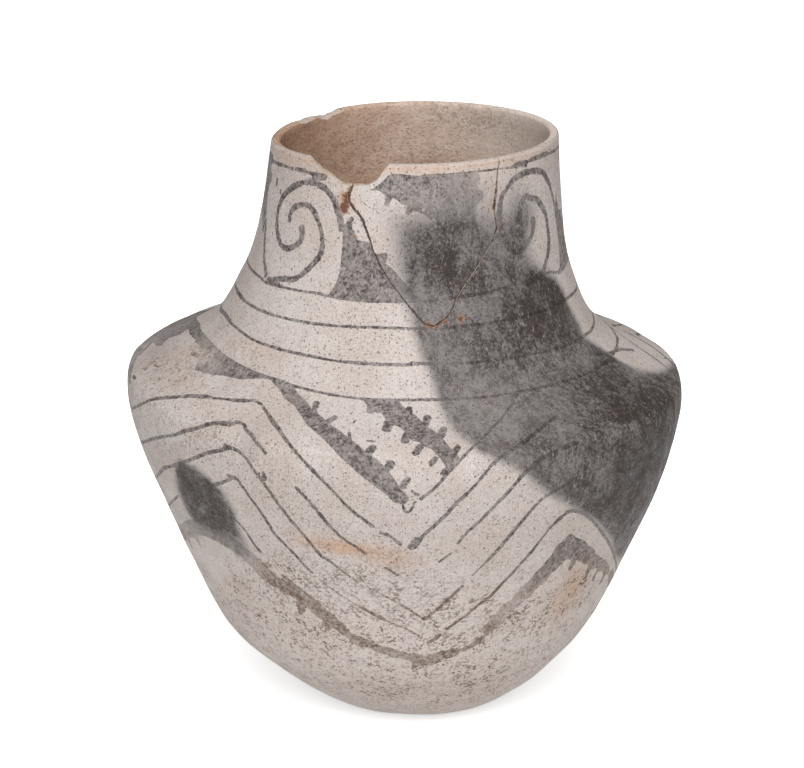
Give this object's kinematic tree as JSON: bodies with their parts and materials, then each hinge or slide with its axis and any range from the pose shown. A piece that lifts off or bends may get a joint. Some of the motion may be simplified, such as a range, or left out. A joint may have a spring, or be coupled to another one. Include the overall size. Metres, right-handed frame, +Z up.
{
  "type": "clay storage jar",
  "caption": "Coil-built clay storage jar with a broad shoulder, wide open neck and painted bands, one neck sherd glued back in, for holding water or dry food.",
  "frame": {"origin": "on the standing surface, under the middle of the belly", "axes": "+Z up through the neck, -Y towards the side with the refitted sherd, +X to that side's right"},
  "size_m": [0.28, 0.28, 0.296],
  "materials": {
    "slipped_clay": "chalky off-white slip over fired clay, scraped and lightly polished, with dark painted bands and grey fire clouds",
    "aged_glue": "old brown adhesive, set hard and slightly glossy"
  },
  "bodies": {
    "root": {"jar_body": "slipped_clay", "neck_sherd": "slipped_clay", "glue_seam_left": "aged_glue", "glue_seam_right": "aged_glue"}
  },
  "joints": []
}
